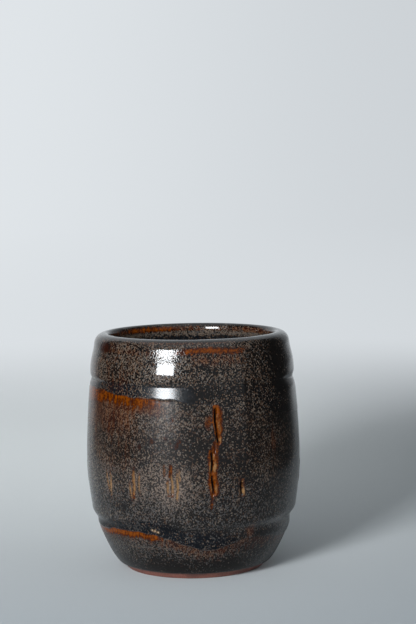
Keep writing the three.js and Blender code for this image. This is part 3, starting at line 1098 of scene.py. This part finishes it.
BROWN_BLACK = (0.005, 0.0042, 0.0038)
BLUE_BLACK = (0.0052, 0.0066, 0.0088)
RUST_BLACK = (0.021, 0.005, 0.0022)
BEIGE = (0.108, 0.086, 0.068)
BROWN = (0.050, 0.027, 0.016)
SLATE = (0.047, 0.046, 0.046)
RUST_BROWN = (0.105, 0.045, 0.018)
AMBER = (0.145, 0.034, 0.001)
AMBER_DEEP = (0.034, 0.0065, 0.001)
# Colours of the pale haze, which is partly a painted sheen:
HAZE_AND_SHEEN_GREY = (0.165, 0.13, 0.108)
HAZE_AND_SHEEN_DIM = (0.035, 0.03, 0.027)
# Cream at the slits' edges is pale glaze with a painted highlight on it; black in their cores is dark glaze
# with painted shade.
CREAM = (0.225, 0.130, 0.055)
# Colour of the painted glints at the blisters:
PAINTED_GLINT = (0.38, 0.36, 0.33)
BLACK = (0.002, 0.002, 0.002)
SOFT_SHINE = 0.06  # specular level of the soft lobe under the gloss
SOFT_ROUGHNESS = 0.42
POOL_ROUGHNESS = 0.22
AMBER_ROUGHNESS = 0.2

# How far the patterns in the glaze stand up.
SPECK_BUMP = 0.006
RIPPLE_SHARE = 11  # height of the ripples in that of specks, where the glaze is gritty
POOL_BUMP_SHARE = 0.25


def glaze_material(name, roughness, clear):
    """Dark iron glaze: fine light crystals in dark glass, breaking amber and rust where it is thin.

    It is glossy all through if clear is 0, or else soft with this much clear gloss on it.
    """
    g = Graph(name)
    speck, shade, hue = g.grains(grain=0.35, upright=0.8)
    coarse = g.noise(grain=1.2, roughness=0.6)
    cloud = g.noise(grain=9)
    streak = g.noise(grain=0.9, upright=0.12)
    mottle = g.noise(grain=0.8, roughness=0.6)
    ripple = g.noise(grain=0.6, detail=1.0)
    ragged = g.add(g.sway(coarse, 0.9), g.sway(speck, 0.4))
    amber = g.add(g.add(g.mask("amber"), ragged), g.times(g.mask("rust"), g.sway(streak, 2.0)))
    rust = g.add(g.mask("rust"), g.add(g.sway(streak, 1.2), g.sway(coarse, 0.5)))
    rusty = g.rise(rust, 0.3, 0.85)
    pool = g.rise(g.add(g.mask("pool"), ragged), 0.15, 1)

    level = g.add(g.times(speck, 0.75), g.sway(coarse, 0.25))
    amount = g.add(g.mask("crystal"), g.sway(cloud, 0.45))
    # The haze lightens grains and ground, partly as a painted sheen.
    haze = g.mask("haze")
    amount = g.add(amount, g.math("SUBTRACT", g.times(haze, 0.15), g.times(pool, 0.17)))
    crystals = g.rise(g.add(level, amount), 0.76, 0.92)

    pale = g.add(shade, g.math("SUBTRACT", amount, CRYSTAL_SHARE))
    grain = g.mix(BROWN, BEIGE, g.rise(pale, 0.2, 0.7))
    grain = g.mix(grain, SLATE, g.rise(g.add(hue, g.times(g.mask("cool"), 0.5)), 0.7, 0.95))
    grain = g.mix(grain, RUST_BROWN, g.times(rusty, 0.7))
    grain = g.mix(grain, HAZE_AND_SHEEN_GREY, haze)
    ground = g.mix(g.mix(BROWN_BLACK, BLUE_BLACK, pool), RUST_BLACK, rusty)
    ground = g.mix(ground, HAZE_AND_SHEEN_DIM, haze)
    colour = g.mix(ground, grain, crystals)
    bright = g.add(g.times(amber, 0.75), g.add(g.sway(mottle, 2.2), g.sway(streak, 1.2)))
    orange = g.mix(AMBER_DEEP, AMBER, g.rise(bright, 0.2, 1.3))
    broken = g.rise(amber, 0.15, 0.85)
    colour = g.mix(colour, orange, broken)
    # Cream: pale glaze at the slits' edges, partly a painted highlight.
    cream = g.add(g.mask("pale"), g.times(ragged, 0.6))
    colour = g.mix(colour, CREAM, g.rise(cream, 0.15, 0.95))
    # Painted glints at the blisters, where the pale mask runs over 1.
    colour = g.mix(colour, PAINTED_GLINT, g.rise(g.mask("pale"), 1, 1.7))
    # Black: dark glaze with painted shade in the slits, the dark line and the rust spots.
    colour = g.mix(colour, BLACK, g.mask("core"))

    specks = g.times(speck, g.rise(pool, 0, 1, 1, POOL_BUMP_SHARE))
    normal = g.bump(g.add(specks, g.times(g.times(ripple, RIPPLE_SHARE), g.mask("grit"))), SPECK_BUMP, 1)
    g.set(Base_Color=colour, Normal=normal)
    if clear:
        rough = g.rise(pool, 0, 1, SOFT_ROUGHNESS, POOL_ROUGHNESS)
        rough = g.math("MINIMUM", rough, g.rise(broken, 0, 1, SOFT_ROUGHNESS, AMBER_ROUGHNESS))
        weight = g.times(g.rise(pool, 0.1, 0.7, clear, 0), g.rise(broken, 0, 1, 1, 0.6))
        g.set(Specular_IOR_Level=SOFT_SHINE, Roughness=rough)
        g.set(Coat_Weight=weight, Coat_Roughness=roughness, Coat_IOR=1.4, Coat_Normal=normal)
    else:
        rough = g.rise(pool, 0, 1, roughness, POOL_ROUGHNESS)
        g.set(Specular_IOR_Level=0.42, Roughness=rough)
    return g.material


CLAY_RED = (0.15, 0.05, 0.035)
CLAY_LIGHT = (0.215, 0.082, 0.06)
CLAY_DARK = (0.1, 0.037, 0.028)
GROG_BUMP = 0.05


def clay_material():
    """Bare stoneware: matt, red-brown, with fine grog."""
    g = Graph("bare_stoneware")
    grog = g.noise(grain=0.5, detail=3.0, roughness=0.6)
    cloud = g.noise(grain=8)
    colour = g.mix(CLAY_RED, CLAY_LIGHT, g.rise(grog, 0.35, 0.65))
    colour = g.mix(colour, CLAY_DARK, g.rise(cloud, 0.45, 0.75))
    return g.set(Base_Color=colour, Roughness=0.85, Normal=g.bump(grog, GROG_BUMP, 0.5))


# Studio: colours of the paper by the cup and of what lies far off, and where one turns into the next; the
# paper's darkening to the front and right is painted light falloff, and what lies far off is a painted
# glow.
PAPER_FRONT = (0.297, 0.333, 0.362)
PAPER_BACK = (0.91, 0.962, 0.98)
PAPER_FAR = (0.1, 0.1, 0.1)
PAPER_DEPTH = (-0.2, 0.33)
PAPER_RIGHT = (0, 0.2)
PAPER_RIGHT_SHARE = 0.8
PAPER_END = (0.25, 0.85)
PAPER_DIMMING = (0.8, 1.6)
FAR_FRONT = (0.30, 0.32, 0.335)
FAR_LEFT = (0.75, 0.787, 0.817)
FAR_RIGHT = (0.61, 0.645, 0.675)
FAR_SIDE = (0.36, 0.38, 0.40)
FAR_DEPTH = (-1.5, 0.5)
FAR_ACROSS = (-0.7, 0.7)
FAR_OUTSIDE = (0.6, 2.2)


def backdrop_material():
    """Pale paper that the lamps light near the cup, with painted light falloff; farther off a painted glow
    for eye and glaze.
    """
    g = Graph("backdrop_paper")
    back = g.axis("Y")
    right = g.axis("X")
    reach = g.vector("LENGTH", g.place).outputs["Value"]
    far = g.rise(reach, *PAPER_END)
    dim = g.rise(reach, *PAPER_DIMMING)
    # Painted light falloff: darker towards the front and towards the right.
    paper = g.mix(PAPER_FRONT, PAPER_BACK, g.rise(back, *PAPER_DEPTH))
    paper = g.mix(paper, PAPER_FRONT, g.rise(right, *PAPER_RIGHT, 0, PAPER_RIGHT_SHARE))
    paper = g.mix(paper, PAPER_FAR, dim)
    g.set(Base_Color=paper, Roughness=0.95, Specular_IOR_Level=0.1)
    rays = g.node("LightPath").outputs
    seen = g.math("MAXIMUM", rays["Is Camera Ray"], rays["Is Glossy Ray"])
    seen = g.math("MAXIMUM", seen, rays["Is Transmission Ray"])
    # Painted glow, pale behind and at the left, dim in front and far to the sides, seen only by eye and
    # glaze.
    across = g.mix(FAR_LEFT, FAR_RIGHT, g.rise(right, *FAR_ACROSS))
    across = g.mix(across, FAR_SIDE, g.rise(right, *FAR_OUTSIDE))
    glow = g.node("Emission", {"Color": g.mix(FAR_FRONT, across, g.rise(back, *FAR_DEPTH))})
    return g.end_in(glow, g.times(far, seen))


FLOOR_MIDDLE = 0.02
FLOOR_NEAR = 0.3
FLOOR_REACH = 3.2
SWEEP_RADIUS = 1.0
SWEEP_STEPS = 16
SWEEP_COLUMNS = 96
WALL_TOP = 3.0


def backdrop():
    """A round sweep: a floor that curves up into a wall on all sides."""
    turns = np.linspace(0, np.pi / 2, SWEEP_STEPS + 1)
    rise = [(FLOOR_REACH + SWEEP_RADIUS * math.sin(t), SWEEP_RADIUS * (1 - math.cos(t))) for t in turns]
    floor = [(FLOOR_MIDDLE, 0), (FLOOR_NEAR, 0)]
    line = np.array(floor + rise + [(FLOOR_REACH + SWEEP_RADIUS, WALL_TOP)])
    columns = np.linspace(-180, 180, SWEEP_COLUMNS, endpoint=False)
    azimuth = columns + np.zeros((len(line), 1))
    points = round_points(azimuth, line[:, :1], line[:, 1:]) / MM
    rows, count, _ = points.shape
    numbers = np.arange(rows * count).reshape(rows, count)
    ahead = np.roll(numbers, -1, axis=1)
    quads = np.stack([numbers[:-1], numbers[1:], ahead[1:], ahead[:-1]], axis=-1).reshape(-1, 4)
    mesh = bpy.data.meshes.new("backdrop")
    mesh.from_pydata(points.reshape(-1, 3), [], quads.tolist() + [numbers[0].tolist()])
    mesh.polygons.foreach_set("use_smooth", np.ones(len(mesh.polygons), bool))
    mesh.materials.append(backdrop_material())
    add_object("backdrop", mesh, "shadow")  # its wall doesn't keep out the light from afar


def direction(azimuth, elevation):
    """Unit vector from the cup towards a place in the studio."""
    turn, lift = math.radians(azimuth), math.radians(elevation)
    return Vector((math.sin(turn) * math.cos(lift), -math.cos(turn) * math.cos(lift), math.sin(lift)))


# The soft box, by its angles seen from the cup.
BOX_DISTANCE = 2.0
BOX_AIM = 0.08  # height that it faces
BOX_AZIMUTH = -29.5
BOX_ELEVATION = 10.3
BOX_WIDE = 18.5
BOX_TALL = 16.6
BOX_RADIANCE = 41


def soft_box():
    """A box of light that shows only in the glaze."""
    way = direction(BOX_AZIMUTH, BOX_ELEVATION)
    lamp = bpy.data.lights.new("soft_box", "AREA")
    lamp.shape = "RECTANGLE"
    lamp.size = 2 * BOX_DISTANCE * math.tan(math.radians(BOX_WIDE / 2))
    lamp.size_y = 2 * BOX_DISTANCE * math.tan(math.radians(BOX_TALL / 2))
    lamp.energy = BOX_RADIANCE * math.pi * lamp.size * lamp.size_y
    lamp.color = (0.93, 0.97, 1)
    light = add_object("soft_box", lamp, "camera", "diffuse")
    light.location = Vector((0, 0, BOX_AIM)) + BOX_DISTANCE * way
    light.rotation_mode = "QUATERNION"
    light.rotation_quaternion = (-way).to_track_quat("-Z", "Y")


def even_light(name, place, level, shadow):
    """A lamp that doesn't weaken with distance: level 1 shows a surface that faces it in its own colour."""
    lamp = bpy.data.lights.new(name, "POINT")
    lamp.energy = 4 * math.pi**2 * level
    lamp.shadow_soft_size = 0.05
    lamp.use_shadow = shadow
    lamp.use_nodes = True
    nodes = lamp.node_tree.nodes
    falloff = nodes.new("ShaderNodeLightFalloff")
    falloff.inputs["Strength"].default_value = 1
    lamp.node_tree.links.new(falloff.outputs["Constant"], nodes["Emission"].inputs["Strength"])
    add_object(name, lamp, "camera", "glossy").location = place


CARD_TOP = 0.4
CARD_FADE = 0.16
CARD_BLACK = (0.02, 0.02, 0.02)


def dark_card(name, place, front, back):
    """A dark card beside the cup that shows only in the glaze, and fades out at its back end."""
    mesh = bpy.data.meshes.new(name)
    ends = [(front, 0), (back, 0), (back, CARD_TOP), (front, CARD_TOP)]
    mesh.from_pydata([(place, y, z) for y, z in ends], [], [(0, 1, 2, 3)])
    g = Graph(name)
    g.set(Base_Color=CARD_BLACK, Roughness=0.9)
    faded = g.rise(g.axis("Y"), back - CARD_FADE, back)
    mesh.materials.append(g.end_in(g.node("BsdfTransparent"), faded))
    add_object(name, mesh, "camera", "diffuse", "shadow")


KEY_AZIMUTH = -22.5
KEY_ELEVATION = 22.8
KEY_DISTANCE = 0.335
KEY_LEVEL = 1.4
BACK_FILL_PLACE = (0.5, 0.87, 0.2)
SIDE_FILL_PLACE = (0.6, -0.3, 0.35)
FILL_LEVEL = 0.1
SKY_LIGHT = 0.33
SKY_SEEN = 0.95  # as the glaze mirrors it
SKY_COLOUR = (0.92, 0.97, 1.0)


def lighting():
    """A soft box that the glaze mirrors, light from the same side, two weak fills and a dim sky."""
    soft_box()
    even_light("key", KEY_DISTANCE * direction(KEY_AZIMUTH, KEY_ELEVATION), KEY_LEVEL, True)
    even_light("back_fill", BACK_FILL_PLACE, FILL_LEVEL, False)
    even_light("side_fill", SIDE_FILL_PLACE, FILL_LEVEL, False)
    world = bpy.data.worlds.new("studio")
    bpy.context.scene.world = world
    world.use_nodes = True
    nodes, links = world.node_tree.nodes, world.node_tree.links
    sky = nodes["Background"]
    sky.inputs["Color"].default_value = (*SKY_COLOUR, 1)
    strength = nodes.new("ShaderNodeMapRange")
    strength.inputs["To Min"].default_value = SKY_LIGHT
    strength.inputs["To Max"].default_value = SKY_SEEN
    links.new(nodes.new("ShaderNodeLightPath").outputs["Is Glossy Ray"], strength.inputs["Value"])
    links.new(strength.outputs["Result"], sky.inputs["Strength"])


CAMERA_PLACE = (0.00628, -0.6468, 0.15164)
CAMERA_PITCH = 4.98
CAMERA_ROLL = -0.84


def camera():
    """The photograph's view: a long lens, a little above the lip, turned slightly about its own axis."""
    lens = bpy.data.cameras.new("camera")
    lens.lens = 100
    lens.sensor_width = 36
    eye = add_object("camera", lens)
    tilt = Matrix.Rotation(math.pi / 2 - math.radians(CAMERA_PITCH), 4, "X")
    roll = Matrix.Rotation(math.radians(CAMERA_ROLL), 4, "Z")
    eye.matrix_world = Matrix.Translation(CAMERA_PLACE) @ (tilt @ roll)
    bpy.context.scene.camera = eye


def cup():
    """All five pieces, each in the place of its CAD node."""
    columns = wall_columns()
    glaze_line = BARE_EDGE + CLAY_GAP + 0 * columns
    waist = skin.place_of(waist_edge(columns))
    rim = skin.place_of(rim_edge(columns))
    mouth = skin.mouth + 0 * columns
    foot_glaze = glaze_material("foot_glaze", roughness=0.2, clear=0.45)
    coat("foot_glaze", glaze_line, waist, FOOT_ROWS, columns, foot_glaze)
    belly_glaze = glaze_material("belly_glaze", roughness=0.1, clear=0.75)
    coat("belly_glaze", waist, rim, BELLY_ROWS, columns, belly_glaze)
    rim_glaze = glaze_material("rim_glaze", roughness=0.04, clear=0)
    coat("rim_glaze", rim, mouth, RIM_ROWS, columns, rim_glaze)
    liner("liner_glaze", glaze_material("liner_glaze", roughness=0.1, clear=1))
    clay("clay_body", clay_material())


bpy.context.scene.view_settings.view_transform = "Standard"
camera()
lighting()
backdrop()
dark_card("right_card", place=0.2, front=-0.137, back=0.27)
dark_card("left_card", place=-0.25, front=-0.167, back=0.28)
cup()
